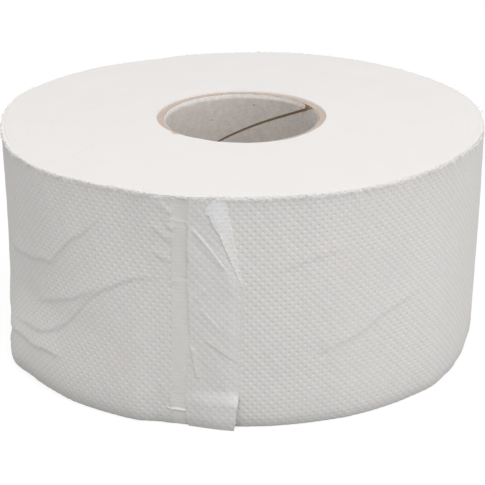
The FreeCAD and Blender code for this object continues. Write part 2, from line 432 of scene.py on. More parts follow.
    def points(self, arc: Array, height: Array, radius: Array) -> Array:
        """Places on the drum, at radii, as points."""
        return around(arc / self.radius, radius, height)


def lay_out(name: str, points: Array, faces: list[tuple[int, ...]], crisp: float) -> bpy.types.Object:
    """A mesh object from points in millimetres.

    Args:
        name: The piece's name.
        points: Its points, in any grid shape.
        faces: The corners of each face, counter-clockwise from outside.
        crisp: The angle past which an edge is drawn sharp.

    Returns:
        The object, linked to the scene.
    """
    mesh = bpy.data.meshes.new(name)
    mesh.from_pydata((points.reshape(-1, 3) * MM).tolist(), [], faces)
    mesh.validate()
    mesh.shade_smooth()
    mesh.set_sharp_from_angle(angle=math.radians(crisp))
    made = bpy.data.objects.new(name, mesh)
    bpy.context.scene.collection.objects.link(made)
    return made


def quads(*corners: Array) -> list[tuple[int, ...]]:
    """Faces from grids of their first, second, third and fourth corners."""
    return list(zip(*(grid.ravel().tolist() for grid in corners)))


def sheet_solid(name: str, face: Array, back: Array, crisp: float, step: int = 1) -> bpy.types.Object:
    """A closed sheet between two grids of points.

    Args:
        name: The piece's name.
        face: The outer grid, with rows up and columns to the right.
        back: The inner grid, with the same columns and one row for every step rows of the face.
        crisp: The angle past which an edge is drawn sharp.
        step: How many rows of the face go with one of the back.

    Returns:
        The object.
    """
    front = np.arange(face[..., 0].size).reshape(face.shape[:2])
    rear = front.size + np.arange(back[..., 0].size).reshape(back.shape[:2])
    faces = quads(front[:-1, :-1], front[:-1, 1:], front[1:, 1:], front[1:, :-1])
    faces += quads(rear[:-1, :-1], rear[1:, :-1], rear[1:, 1:], rear[:-1, 1:])
    faces += quads(rear[0, :-1], rear[0, 1:], front[0, 1:], front[0, :-1])
    faces += quads(front[-1, :-1], front[-1, 1:], rear[-1, 1:], rear[-1, :-1])
    for k in range(len(back) - 1):
        left = front[k * step:(k + 1) * step + 1, 0].tolist()
        right = front[k * step:(k + 1) * step + 1, -1].tolist()
        faces.append((rear[k, 0].item(), *left, rear[k + 1, 0].item()))
        faces.append((*right[::-1], rear[k, -1].item(), rear[k + 1, -1].item()))
    return lay_out(name, np.concatenate([face.reshape(-1, 3), back.reshape(-1, 3)]), faces, crisp)


def ring_solid(name: str, loops: Array, crisp: float) -> bpy.types.Object:
    """A closed ring from a grid that closes both ways.

    Args:
        name: The piece's name.
        loops: The grid: rows go up the outside, in over the top and down the inside, columns to the right.
        crisp: The angle past which an edge is drawn sharp.

    Returns:
        The object.
    """
    here = np.arange(loops[..., 0].size).reshape(loops.shape[:2])
    across, above = np.roll(here, -1, axis=1), np.roll(here, -1, axis=0)
    return lay_out(name, loops, quads(here, across, np.roll(across, -1, axis=0), above), crisp)


class Piece(ABC):
    """A piece of the scene, which stands for a node of the construction."""

    name: ClassVar[str]
    node: ClassVar[Node] = Node.TISSUE_ROLL
    slot: ClassVar[Slot] = Slot.TISSUE
    # The angle past which an edge is drawn sharp
    crisp: ClassVar[float] = 50.0

    @abstractmethod
    def build(self) -> bpy.types.Object:
        """The piece's mesh."""

    @abstractmethod
    def finish(self) -> bpy.types.Material:
        """The piece's material."""

    def make(self) -> None:
        """Builds and dresses the piece, and seats it on the roll."""
        piece = self.build()
        piece.data.materials.append(self.finish())
        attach(piece, BODY)
        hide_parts(self.node.value)
        log.info("%s: %d faces, for %s", piece.name, len(piece.data.polygons), self.node.value)


class Wire:
    """One output of a shader node. Arithmetic on it adds the Math nodes that work it out."""

    def __init__(self, bench: "Bench", socket: bpy.types.NodeSocket) -> None:
        """Wraps a socket of a bench's tree."""
        self.bench = bench
        self.socket = socket

    def __add__(self, other: "Value") -> "Wire":
        """The sum."""
        return self.bench.math("ADD", self, other)

    def __sub__(self, other: "Value") -> "Wire":
        """The difference."""
        return self.bench.math("SUBTRACT", self, other)

    def __rsub__(self, other: "Value") -> "Wire":
        """The difference from a number."""
        return self.bench.math("SUBTRACT", other, self)

    def __mul__(self, other: "Value") -> "Wire":
        """The product."""
        return self.bench.math("MULTIPLY", self, other)

    def __neg__(self) -> "Wire":
        """The value with its sign turned."""
        return self.bench.math("MULTIPLY", self, -1.0)

    __radd__ = __add__
    __rmul__ = __mul__


Value = Union[float, Wire]


def linear(shown: Colour) -> Colour:
    """A colour as a shader takes it, from how it is shown in 0 to 255."""
    return tuple(((channel / BRIGHTEST + SHOWN_LIFT) / (1 + SHOWN_LIFT)) ** SHOWN_POWER for channel in shown)


@dataclass(frozen=True)
class Grain:
    """A layer of noise in a finish, with its size in millimetres and its share in the light and the relief.

    Stretch scales the place along each axis before the noise is read. Rings, as a size across them and one
    along them, has the noise run round the axis.
    """

    size: float
    detail: float = 2.0
    roughness: float = 0.5
    light: float = 0.0
    relief: float = 0.0
    stretch: Colour | None = None
    rings: Place | None = None


class Bench:
    """The node tree of a material or of the world, on which it is put together."""

    def __init__(self, owner: bpy.types.ID) -> None:
        """Clears the owner's tree.

        Args:
            owner: The material or the world.
        """
        self.owner = owner
        owner.use_nodes = True
        self.tree = owner.node_tree
        self.tree.nodes.clear()

    def add(self, kind: str, settings: Mapping[str, object] | None,
            inputs: Mapping[int | str, object] | None) -> bpy.types.Node:
        """Adds a node.

        Args:
            kind: The node's type.
            settings: Its own settings, such as an operation, set before its sockets.
            inputs: Values or wires for its sockets, by number or name.

        Returns:
            The node.
        """
        made = self.tree.nodes.new(kind)
        for name, value in (settings or {}).items():
            setattr(made, name, value)
        for key, value in (inputs or {}).items():
            socket = made.inputs[key]
            if isinstance(value, Wire):
                self.tree.links.new(value.socket, socket)
            elif socket.type == "RGBA":
                socket.default_value = (*value, 1.0)
            else:
                socket.default_value = value
        return made

    def node(self, kind: str, settings: Mapping[str, object] | None = None,
             inputs: Mapping[int | str, object] | None = None, output: int | str = 0) -> Wire:
        """Adds a node and gives one of its outputs."""
        return Wire(self, self.add(kind, settings, inputs).outputs[output])

    def math(self, operation: str, *values: Value) -> Wire:
        """A Math node on values."""
        return self.node("ShaderNodeMath", {"operation": operation}, dict(enumerate(values)))

    def seen_by(self, *rays: str) -> Wire:
        """Tells the kinds of light paths apart.

        Args:
            rays: The names of the kinds.

        Returns:
            1 for light paths of these kinds, and 0 for the others.
        """
        seen = self.node("ShaderNodeLightPath", output=rays[0])
        for ray in rays[1:]:
            seen = self.math("MAXIMUM", seen, self.node("ShaderNodeLightPath", output=ray))
        return seen

    def close(self, kind: str, surface: Wire) -> bpy.types.ID:
        """Joins a surface to an output node of a kind, and gives the owner."""
        self.add(kind, None, {"Surface": surface})
        return self.owner


class Surface(Bench):
    """The node tree of a piece's material, with the object's own place in millimetres."""

    def __init__(self, name: str) -> None:
        """Starts an empty material.

        Args:
            name: The material's name.
        """
        super().__init__(bpy.data.materials.new(name))
        self.place = self.vector("SCALE", self.node("ShaderNodeTexCoord", output="Object"), scale=1 / MM)
        parts = self.add("ShaderNodeSeparateXYZ", None, {0: self.place}).outputs
        self.x, self.y, self.z = (Wire(self, part) for part in parts)

    def vector(self, operation: str, *values: object, scale: Value | None = None) -> Wire:
        """A Vector Math node.

        Args:
            operation: What it works out.
            values: The vectors it takes.
            scale: The scale, where it takes one.

        Returns:
            Its result.
        """
        inputs: dict[int | str, object] = dict(enumerate(values))
        if scale is not None:
            inputs["Scale"] = scale
        return self.node("ShaderNodeVectorMath", {"operation": operation}, inputs)

    def bearing(self) -> Wire:
        """The bearing round the axis, in radians."""
        return self.math("ARCTAN2", self.x, -self.y)

    def apart(self, first: Wire, second: Wire) -> Wire:
        """The length of a way with two parts at right angles."""
        return self.math("SQRT", first * first + second * second)

    def radius(self) -> Wire:
        """The distance from the axis, in millimetres."""
        return self.apart(self.x, self.y)

    def ease(self, value: Wire, low: float, high: float) -> Wire:
        """A smooth step from 0 at low to 1 at high."""
        settings = {"interpolation_type": "SMOOTHSTEP", "clamp": True}
        return self.node("ShaderNodeMapRange", settings, {"Value": value, "From Min": low, "From Max": high})

    def grain(self, grain: Grain) -> Wire:
        """Reads a layer of noise.

        Args:
            grain: The layer.

        Returns:
            The noise about 0, within a half either way.
        """
        place = self.place
        if grain.stretch:
            place = self.vector("MULTIPLY", place, grain.stretch)
        elif grain.rings:
            across, along = (1 / size for size in grain.rings)
            places = {0: self.radius() * across, 1: self.x * along, 2: self.y * along}
            place = self.node("ShaderNodeCombineXYZ", None, places)
        return self.node("ShaderNodeTexNoise", None, {
            "Vector": place, "Scale": 1 / grain.size, "Detail": grain.detail, "Roughness": grain.roughness,
        }, "Fac") - 0.5

    def layers(self, grains: Sequence[Grain], base: float = 1.0) -> tuple[Wire, Wire]:
        """What layers of noise add up to.

        Args:
            grains: The layers.
            base: The light without them.

        Returns:
            The light, and the height of the relief in millimetres.
        """
        read = [(grain, self.grain(grain)) for grain in grains]
        light = sum((wire * grain.light for grain, wire in read), base)
        return light, sum((wire * grain.relief for grain, wire in read if grain.relief), 0.0)

    def patch(self, middle: Place, half: Place, turn: float) -> Wire:
        """A soft oval patch on an end face.

        Args:
            middle: Where it lies.
            half: Half its length and half its width.
            turn: How far its length is turned from the first axis to the second, in degrees.

        Returns:
            1 at its middle, eased to 0 at its edge.
        """
        cosine, sine = math.cos(math.radians(turn)), math.sin(math.radians(turn))
        off_x, off_y = self.x - middle[0], self.y - middle[1]
        along = (off_x * cosine + off_y * sine) * (1 / half[0])
        aside = (off_y * cosine - off_x * sine) * (1 / half[1])
        return 1.0 - self.ease(self.apart(along, aside), FULL_SHARE, 1.0)

    def blend(self, factor: Value, first: object, second: object) -> Wire:
        """A colour between two."""
        sockets = {MIX_FACTOR: factor, MIX_FIRST: first, MIX_SECOND: second}
        return self.node("ShaderNodeMix", {"data_type": "RGBA"}, sockets, MIX_RESULT)

    def finish(self, colour: object, light: Wire, relief: Wire) -> bpy.types.Material:
        """Closes the material.

        Args:
            colour: Its colour.
            light: How much lighter or darker it is at each place.
            relief: The fine height of its surface, in millimetres.

        Returns:
            The material.
        """
        normal = self.node("ShaderNodeBump", None, {"Strength": 1.0, "Distance": MM, "Height": relief})
        shown = self.vector("SCALE", colour, scale=light)
        return self.close("ShaderNodeOutputMaterial", self.node("ShaderNodeBsdfPrincipled", None, {
            "Base Color": shown, "Roughness": PAPER_ROUGHNESS, "Normal": normal,
            "Specular IOR Level": PAPER_GLOSS,
        }))


@dataclass(frozen=True)
class TissueFinish:
    """Embossed tissue: soft white, faintly uneven, with fine fibres and dimples, a painted highlight beside
    each dimple and along the fluffy upper rim, and painted shade towards the base.
    """

    name: str
    rim: float
    colour: Colour = (237, 235, 233)
    warm: Colour = (238, 235, 231)
    emboss: Emboss = Emboss()
    base: float = 0.99
    dimple: float = 0.135
    dimple_span: Place = (0.3, 1.0)
    # A painted highlight on one wall of each dimple, set off its middle by glint_turn and glint_drop
    glint: float = 0.058
    glint_span: Place = (0.35, 0.95)
    glint_turn: float = 0.9
    glint_drop: float = 0.42
    worn: Grain = Grain(28, 1)
    worn_span: Place = (-0.22, 0.16)
    worn_least: float = 0.7
    mottle: Grain = Grain(14, 3, light=0.045)
    fine: Grain = Grain(0.55, 3, 0.65, 0.05, 0.05)
    thread: Grain = Grain(1.0, 2, 0.6, 0.02, 0.03, (0.9, 0.9, 3.4))
    tint: Grain = Grain(9)
    tint_span: Place = (-0.15, 0.15)
    # A painted highlight along the fluffy upper rim: its strength, the noise and sway of its ragged lower
    # edge, and how far down it reaches
    rim_highlight: float = 0.05
    rim_highlight_grain: Grain = Grain(1.4)
    rim_highlight_sway: float = 1.2
    rim_highlight_height: float = 1.6
    # Painted shade near the floor: how much darker the tissue gets at the base, fading out by this height
    foot_shade: float = 0.09
    foot_shade_height: float = 16.0

    def lattice(self, bench: Surface, span: Place, turn: float = 0.0, drop: float = 0.0) -> Wire:
        """The dimples of the emboss.

        Args:
            bench: The tree of the material.
            span: The values of the wave that are eased to 0 and to 1.
            turn: How far the dimples are moved round the axis, as a phase.
            drop: How far they are moved down, in millimetres.

        Returns:
            1 in their middles, eased to 0 round them.
        """
        across = bench.bearing() * float(self.emboss.columns) + self.emboss.arc_shift + turn
        upward = (bench.z + drop) * (FULL / self.emboss.rise) + self.emboss.height_shift
        return bench.ease(bench.math("COSINE", across) * bench.math("COSINE", upward), *span)

    def make(self) -> bpy.types.Material:
        """Puts the finish together.

        Returns:
            The material.
        """
        bench = Surface(self.name)
        light, relief = bench.layers((self.mottle, self.fine, self.thread), self.base)
        spot = self.lattice(bench, self.dimple_span)
        # Painted highlights beside the dimples
        glint = self.lattice(bench, self.glint_span, self.glint_turn, self.glint_drop)
        worn = bench.ease(bench.grain(self.worn), *self.worn_span) * (1 - self.worn_least) + self.worn_least
        # The painted highlight along the fluffy upper rim, with a ragged lower edge
        ragged = bench.z + bench.grain(self.rim_highlight_grain) * self.rim_highlight_sway
        rim_lit = bench.ease(ragged, self.rim - self.rim_highlight_height, self.rim)
        # Painted shade, darkest at the base
        foot_shaded = 1.0 - bench.ease(bench.z, 0.0, self.foot_shade_height)
        light = light + glint * worn * self.glint + rim_lit * self.rim_highlight - foot_shaded * self.foot_shade
        warmth = bench.ease(bench.grain(self.tint), *self.tint_span)
        tint = bench.blend(warmth, linear(self.colour), linear(self.warm))
        return bench.finish(tint, light, relief - spot * worn * self.dimple)


@dataclass(frozen=True)
class CrepeFinish:
    """The bare lower ply in the glue band: smooth, with fine lines across it."""

    name: str
    colour: Colour = (237, 235, 232)
    lines: Grain = Grain(1.0, 2, 0.6, 0.05, 0.10, (0.12, 0.12, 1 / 0.34))
    cloud: Grain = Grain(9, light=0.05)
    fine: Grain = Grain(0.4, light=0.025, relief=0.03)

    def make(self) -> bpy.types.Material:
        """The finish as a material."""
        bench = Surface(self.name)
        return bench.finish(linear(self.colour), *bench.layers((self.lines, self.cloud, self.fine)))


@dataclass(frozen=True)
class EndFinish:
    """The web's cut edges on an end face: dense and nearly smooth, with the ghost of its turns and specks."""

    name: str
    colour: Colour = (240, 237, 235)
    turns: Grain = Grain(1.0, 3, 0.6, 0.03, 0.05, rings=(0.9, 26))
    cloud: Grain = Grain(17, 3, light=0.035)
    fine: Grain = Grain(0.5, 3, 0.7, 0.04, 0.05)
    speck_apart: float = 23.0
    speck_span: Place = (0.012, 0.024)
    speck_dark: float = 0.16
    # Faint marks, as (x, y), (half length, half width), turn and strength
    marks: tuple[tuple[Place, Place, float, float], ...] = (
        ((-56.4, 17.2), (0.6, 0.6), 0.0, 0.09), ((-55.5, -38.1), (0.65, 0.65), 0.0, 0.11),
        ((-59.1, -44.1), (7.0, 1.1), 63.4, 0.025), ((-59.5, 10.5), (5.5, 1.2), 47.2, 0.022),
        ((-73.3, -9.2), (6.5, 1.1), 6.0, 0.024),
    )

    def make(self) -> bpy.types.Material:
        """Puts the finish together.

        Returns:
            The material.
        """
        bench = Surface(self.name)
        light, relief = bench.layers((self.turns, self.cloud, self.fine))
        away = bench.node("ShaderNodeTexVoronoi", {"feature": "F1"}, {
            "Vector": bench.place, "Scale": 1 / self.speck_apart, "Randomness": 1.0,
        }, "Distance")
        light = light - (1.0 - bench.ease(away, *self.speck_span)) * self.speck_dark
        for middle, half, turn, strength in self.marks:
            light = light - bench.patch(middle, half, turn) * strength
        return bench.finish(linear(self.colour), light, relief)


@dataclass(frozen=True)
class TanBoardFinish:
    """The core's thick outer strip: tan board, layered at its cut rim and brown in the bore."""

    name: str
    inner_radius: float
    rim: Colour = (208, 191, 179)
    bore: Colour = (172, 148, 122)
    bore_reach: Place = (0.05, 0.25)
    board: tuple[Grain, ...] = (
        Grain(1.0, 2, 0.6, 0.14, 0.10, rings=(0.45, 9)), Grain(3.2, 3, 0.6, 0.16),
        Grain(0.35, 3, 0.7, 0.16, 0.08),
    )

    def make(self) -> bpy.types.Material:
        """Puts the finish together.

        Returns:
            The material.
        """
        bench = Surface(self.name)
        first, last = (self.inner_radius + reach for reach in self.bore_reach)
        inside = 1.0 - bench.ease(bench.radius(), first, last)
        colour = bench.blend(inside, linear(self.rim), linear(self.bore))
        return bench.finish(colour, *bench.layers(self.board))


@dataclass(frozen=True)
class GreyBoardFinish:
    """The core's thin lining: grey board with specks, a crushed whitish lip at the top, and painted shade
    that darkens the wall from left to right.
    """

    name: str
    width: float
    bore_radius: float
    wall: Colour = (222, 216, 210)
    lip: Colour = (240, 236, 233)
    cut: Colour = (214, 202, 192)
    flake: Colour = (238, 222, 212)
    speck: Colour = (112, 100, 90)
    board: tuple[Grain, ...] = (
        Grain(0.45, 3, 0.7, 0.36, 0.08), Grain(2.6, 3, 0.6, 0.34),
        Grain(1.0, 3, 0.65, 0.34, 0.10, (0.5, 0.5, 1.7)),
    )
    # Painted shade across the bore: the wall is this much lighter at the left and darker at the right
    painted_side_shade: float = 0.05
    # The lip: how strong it is, where it starts and ends below the rim, and which way round it faces
    lip_share: float = 0.75
    lip_span: Place = (-2.9, -1.6)
    lip_bearing: float = -140.0
    lip_facing: Place = (-0.1, 0.5)
    lip_grain: Grain = Grain(1.6, 3, 0.7)
    lip_sway: float = 2.0
    cut_span: Place = (0.66, 0.8)
    # A flake beside the seam, between bearings
    flake_from: float = 126.8
    flake_to: float = 133.2
    flake_foot: float = 84.0
    flake_height: float = 3.0
    flake_edge: Place = (-0.2, 0.1)
    flake_side: float = 0.5
    # Dark specks on the wall, as (bearing, height, size)
    specks: tuple[tuple[float, float, float], ...] = (
        (169.9, 82.9, 0.55), (-155.9, 77.2, 0.45), (-170.0, 74.7, 0.4),
    )
    speck_share: float = 0.6
    speck_grain: Grain = Grain(0.7)
    speck_sway: float = 0.5

    def flaked(self, bench: Surface, bearing: Wire) -> Wire:
        """The flake, a low wedge that narrows away from the seam.

        Args:
            bench: The tree of the material.
            bearing: The bearing round the axis, in radians.

        Returns:
            1 in the flake, eased to 0 round it.
        """
        turned = bearing * math.degrees(1)
        slope = self.flake_height / (self.flake_to - self.flake_from)
        above = bench.z - self.flake_foot
        wedge = 1.0 - bench.ease(above - (self.flake_to - turned) * slope, *self.flake_edge)
        side = bench.ease(turned, self.flake_from - self.flake_side, self.flake_from)
        return wedge * bench.ease(above, *self.flake_edge) * side

    def make(self) -> bpy.types.Material:
        """Puts the finish together.

        Returns:
            The material.
        """
        bench = Surface(self.name)
        bearing = bench.bearing()
        colour = linear(self.wall)
        for turned, height, size in self.specks:
            aside = (bearing - math.radians(turned)) * self.bore_radius
            away = bench.apart(aside, bench.z - height) + bench.grain(self.speck_grain) * self.speck_sway
            dark = 1.0 - bench.ease(away, FULL_SHARE * size, size)
            colour = bench.blend(dark * self.speck_share, colour, linear(self.speck))
        ragged = bench.z + bench.grain(self.lip_grain) * self.lip_sway
        first, last = (self.width + below for below in self.lip_span)
        facing = bench.math("COSINE", bearing - math.radians(self.lip_bearing))
        lip = bench.ease(ragged, first, last) * bench.ease(facing, *self.lip_facing)
        colour = bench.blend(lip * self.lip_share, colour, linear(self.lip))
        near, far = (self.bore_radius + deep for deep in self.cut_span)
        colour = bench.blend(bench.ease(bench.radius(), near, far), colour, linear(self.cut))
        colour = bench.blend(self.flaked(bench, bearing), colour, linear(self.flake))
        light, relief = bench.layers(self.board)
        # Painted shade: lighter on the left of the bore, darker on the right
        return bench.finish(colour, light - bench.x * (self.painted_side_shade / self.bore_radius), relief)


@dataclass(frozen=True)
class WoundBody(Piece):
    """The wound web inside the outer turn, with both end faces."""

    drum: Drum
    ring_step: float = 0.5
    columns: int = 360
    clear: float = 1.0
    clear_at_foot: float = 2.6
    wall: float = 3.0
    shoulder: float = 0.2
    ripple: float = 0.012
    ripple_pitch: float = 1.5
    waves: Cockle = Cockle(23, 14, 0.05, (1, 9), (0.05, 0.3))
    # How far from the outer and the inner edge the waves are calm
    calm: Place = (3.0, 1.5)
    # How wide the inner corner has sunk at bearings, for a full turn
    bevel: tuple[Place, ...] = (
        (-180, 0.2), (-90, 0.3), (-53, 0.5), (-48.5, 1.6), (-42, 0.4), (-28, 0.2), (-16, 1.1), (-4, 1.3),
        (5, 1.8), (18, 2.0), (31, 2.1), (44, 1.3), (59, 0.6), (75, 0.2), (180, 0.2),
    )
    bevel_depth: float = 0.95
    bevel_width: float = 1.2
    # Rows of the sunk corner, as (share of its width, share of its depth, further depth)
    corner: tuple[tuple[float, float, float], ...] = ((0.45, 0.8, 0.12), (0.0, 1.0, 0.3))

    name = "wound_body"

    def end_face(self, bearing: Array, end: float, clear: float) -> list[tuple[Array, Array | float]]:
        """Half of the section, from the outer wall in over the face to the core.

        Args:
            bearing: Bearings in radians, one for each column.
            end: The height of that end.
            clear: How far the wall there lies inside the outer turn.

        Returns:
            Rows of the radius and the depth from that end.
        """
        drum = self.drum
        outer = drum.radius - clear + drum.out_of_round(bearing, np.array(end))
        bevel = profile(self.bevel, np.degrees(bearing))
        inner = drum.core_radius + bevel
        rings = int((drum.radius - drum.core_radius) / self.ring_step)
        rows = [(outer, self.wall), (outer, self.shoulder)]
        for k in range(rings + 1):
            out = outer - self.shoulder + (inner - outer + self.shoulder) * k / rings
            turn = FULL * (out / self.ripple_pitch) - bearing
            rough = smooth((outer - out) / self.calm[0]) * smooth((out - inner) / self.calm[1])
            waves = np.abs(self.waves.stand(bearing, out))
            rows.append((out, self.ripple * (1 - np.cos(turn)) + rough * waves))
        sunk = self.bevel_depth * smooth(bevel / self.bevel_width)
        rows += [(drum.core_radius + wide * bevel, deep * sunk + more) for wide, deep, more in self.corner]
        return [*rows, (drum.core_radius, self.wall)]

    def build(self) -> bpy.types.Object:
        """Builds the piece as a ring, closed both ways.

        Returns:
            Its mesh object.
        """
        bearing = np.radians(np.arange(self.columns) * TURN / self.columns - TURN / 2)
        width = self.drum.width
        upper = [(out, width - down) for out, down in self.end_face(bearing, width, self.clear)]
        lower = self.end_face(bearing, 0.0, self.clear_at_foot)[::-1]
        loops = np.stack([around(bearing, *row) for row in upper + lower])
        return ring_solid(self.name, loops, self.crisp)

    def finish(self) -> bpy.types.Material:
        """The piece's material."""
        return EndFinish("cut_edges").make()


@dataclass(frozen=True)
class OuterTurn(Piece):
    """The web's last turn, from under the tab round the back to the glue band."""

    drum: Drum
    emboss: Emboss = Emboss()
    under_tab: float = 16.0
    edge_blend: float = 6.0
    edge_lift: float = 0.18
    edge_reach: float = 0.6
    # How far from the edge the last columns lie
    edge_columns: tuple[float, ...] = (1.1, 0.75, 0.45, 0.2, 0.0)
    edge_margin: float = 1.0
    lining: float = 1.1
    lining_at_foot: float = 2.8
    lining_height: float = 30.0
    lining_step: int = 39
    rows_per_dimple: int = 4
    rim_round: float = 0.34
    torn: Cockle = Cockle(31, 30, 0.12, (40, 420), (0.0, 0.1))
    frayed_lip: float = 0.35
    frayed_height: float = 1.0
    frayed_gain: float = 1.5
    # The edge beside the glue band, as (height, arc)
    edge: tuple[Place, ...] = (
        (0, -25.5), (8, -25.7), (18, -25.5), (42, -25.0), (56, -24.9), (75, -24.7), (88, -25.2),
    )
    # How frayed the upper rim is at bearings, for a full turn
    frayed: tuple[Place, ...] = (
        (-180, 0.05), (-110, 0.05), (-92, 0.3), (-80, 0.9), (-60, 0.8), (-50, 0.15), (-40, 0.0), (48, 0.0),
        (60, 0.5), (72, 0.5), (86, 0.1), (100, 0.05), (180, 0.05),
    )

    name = "outer_turn"

    def columns(self) -> Array:
        """Places the columns, finely at the edge beside the band.

        Returns:
            Their arcs.
        """
        step = self.drum.girth / self.emboss.columns / self.rows_per_dimple
        last = self.edge_at(np.array(0.0)).item()
        first = math.ceil(-(self.drum.girth + self.under_tab) / step)
        regular = np.arange(first, math.floor((last - self.edge_margin) / step)) * step
        return np.concatenate([regular, last - np.array(self.edge_columns)])

    def edge_at(self, height: Array) -> Array:
        """The arc of the edge beside the band."""
        return profile(self.edge, height)

    def heights(self) -> Array:
        """Places the rows, with one more close to each rim.

        Returns:
            Their heights.
        """
        count = round(self.drum.width / self.emboss.rise * self.rows_per_dimple)
        regular = np.linspace(0, self.drum.width, count + 1)
        return np.sort(np.concatenate([regular, [self.rim_round, self.drum.width - self.rim_round]]))

    def build(self) -> bpy.types.Object:
        """Builds the piece as a sheet that is lined inside.

        Returns:
            Its mesh object.
        """
        drum = self.drum
        height, arc = self.heights()[:, None], self.columns()[None, :]
        last = arc[0, -1]
        arc = arc + (self.edge_at(height) - last) * smooth(1 + (arc - last) / self.edge_blend)
        bearing = drum.bearing(arc)
        stand = drum.side(arc, height) + self.emboss.stand(bearing, height)
        from_edge = self.edge_at(height) - arc
        stand = stand + self.edge_lift * np.exp(-(from_edge / self.edge_reach) ** 2)
        rim = 1 - smooth(np.minimum(height, drum.width - height) / (2 * self.rim_round))
        stand = stand - self.rim_round * rim
        ragged = self.torn.stand(bearing, 0 * height)
        frayed = profile(self.frayed, np.degrees(bearing))
        top = smooth(height - drum.width + self.frayed_height)
        stand = stand + self.frayed_lip * frayed * (1 + ragged / self.torn.depth) * top
        level = np.broadcast_to(height, stand.shape) + ragged * (1 + self.frayed_gain * frayed) * top
        low = np.clip(1 - height / self.lining_height, 0, 1)
        lining = self.lining + (self.lining_at_foot - self.lining) * low
        inside = drum.radius - lining + drum.out_of_round(bearing, height)
        back = drum.points(arc, level, inside)[::self.lining_step]
        return sheet_solid(self.name, drum.points(arc, level, stand), back, self.crisp, self.lining_step)

    def finish(self) -> bpy.types.Material:
        """The piece's material."""
        return TissueFinish("side_tissue", self.drum.width, emboss=self.emboss).make()


@dataclass(frozen=True)
class GlueBand(Piece):
    """The strip between the outer turn and the tab where the upper ply is missing."""

    drum: Drum
    left: float = -27.4
    right: float = -13.0
    depth: float = 0.2
    thickness: float = 0.7
    grid: float = 0.3
    top_gap: float = 0.1
    crimps: Cockle = Cockle(41, 24, 0.02, (4, 30), (3.0, 9.0))
    # Two folds across the band, and the loose thread at its foot
    creases: tuple[Crease, ...] = (
        Crease(0.16, 0.5, 0.3, ((-26, 79.6), (-22, 78.9), (-17, 78.6)), 0.1, 0.1),
        Crease(0.12, 0.5, 0.3, ((-26, 56.2), (-22, 56.4), (-17, 56.2)), 0.1, 0.1),
        Crease(0.55, 0.35, 0.35, ((-29.3, 9.9), (-27.4, 7.4), (-25.9, 6.7), (-23, 6.7), (-18, 6.3)),
               0.1, 0.05),
    )

    name = "glue_band"

    def build(self) -> bpy.types.Object:
        """Builds the piece as a thin sheet.

        Returns:
            Its mesh object.
        """
        drum = self.drum
        rows = np.linspace(0, drum.width - self.top_gap, round(drum.width / self.grid))
        arc, height = np.meshgrid(np.arange(self.left, self.right, self.grid), rows)
        stand = drum.side(arc, height) - self.depth
        stand = stand + self.crimps.stand(drum.bearing(arc), height)
        for crease in self.creases:
            stand = stand + crease.stand(arc, height)
        back = drum.points(arc, height, stand - self.thickness)
        return sheet_solid(self.name, drum.points(arc, height, stand), back, self.crisp)

    def finish(self) -> bpy.types.Material:
        """The piece's material."""
        return CrepeFinish("bare_ply").make()


